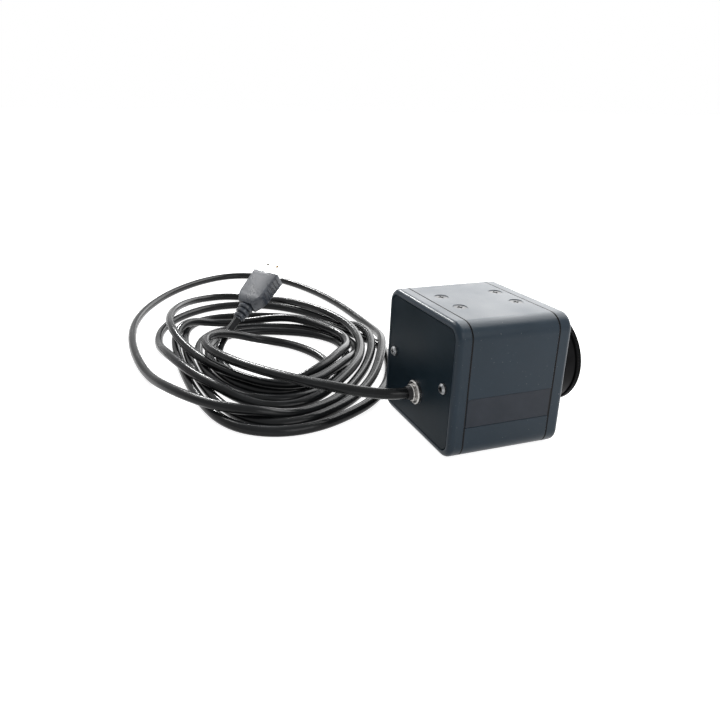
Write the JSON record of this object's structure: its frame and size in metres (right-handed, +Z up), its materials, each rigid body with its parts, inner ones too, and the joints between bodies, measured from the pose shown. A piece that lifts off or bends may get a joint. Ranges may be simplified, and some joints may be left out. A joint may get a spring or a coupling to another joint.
{
  "type": "machine vision camera",
  "caption": "Box camera for machine vision with a C-mount on a turning focus ring, threaded base and a fixed USB lead coiled behind it.",
  "frame": {"origin": "mouth of the tripod thread, in the plane of the base", "axes": "the lens looks along -Y, +Z is up, and +X is the camera's side away from the label band"},
  "size_m": [0.2589, 0.1554, 0.05],
  "materials": {
    "housing": "fine satin black coat on aluminium",
    "ring": "black anodised, fine turned grain",
    "label": "bare matt film",
    "screws_black": "black zinc",
    "screws_steel": "plain zinc",
    "nickel": "nickel plate",
    "aluminium": "bare, machined",
    "brass": "plain turned",
    "rubber": "matt moulded",
    "cable": "satin PVC jacket",
    "wires": "coloured insulation",
    "connector": "moulded nylon",
    "circuit_board": "green solder mask",
    "chip": "moulded epoxy",
    "sensor": "glass cover over a dark die",
    "filter_glass": "polished, pale cyan",
    "holder": "moulded, matt",
    "overmold": "satin moulded PVC",
    "plug_steel": "bright folded steel",
    "insulator": "moulded, white",
    "gold": "gold flash"
  },
  "bodies": {
    "camera": {"front_cap": "housing", "ring_lock_screw": "screws_black", "body_sleeve": "housing", "label_strip": "label", "rear_bezel": "housing", "rear_plate": "housing", "rear_plate_screws": "screws_black", "top_screws": "screws_black", "top_nut_plate": "aluminium", "base_screws": "screws_black", "tripod_plate": "brass", "gland_bushing": "nickel", "gland_nut": "nickel", "cable_boot": "rubber", "inner_lead": "cable", "lead_wires": "wires", "lead_plug": "connector", "lead_socket": "connector", "sensor_board": "circuit_board", "usb_board": "circuit_board", "board_spacers": "brass", "board_screws": "screws_steel", "board_link": "chip", "image_sensor": "sensor", "filter_holder": "holder", "ir_filter": "filter_glass", "video_processor": "chip", "memory_chips": "chip", "plug_overmold": "overmold", "plug_shell": "plug_steel", "plug_tongue": "insulator", "plug_contacts": "gold", "cord_lead": "cable", "cord_tail": "cable", "cord_coil": "cable"},
    "focus_ring": {"back_focus_ring": "ring"}
  },
  "joints": [
    {"name": "back_focus_turn", "type": "hinge", "parent": "camera", "child": "focus_ring", "pos_m": [0, -0.028, 0.025], "axis": [0, -1, 0], "range_deg": [-180, 180]}
  ]
}
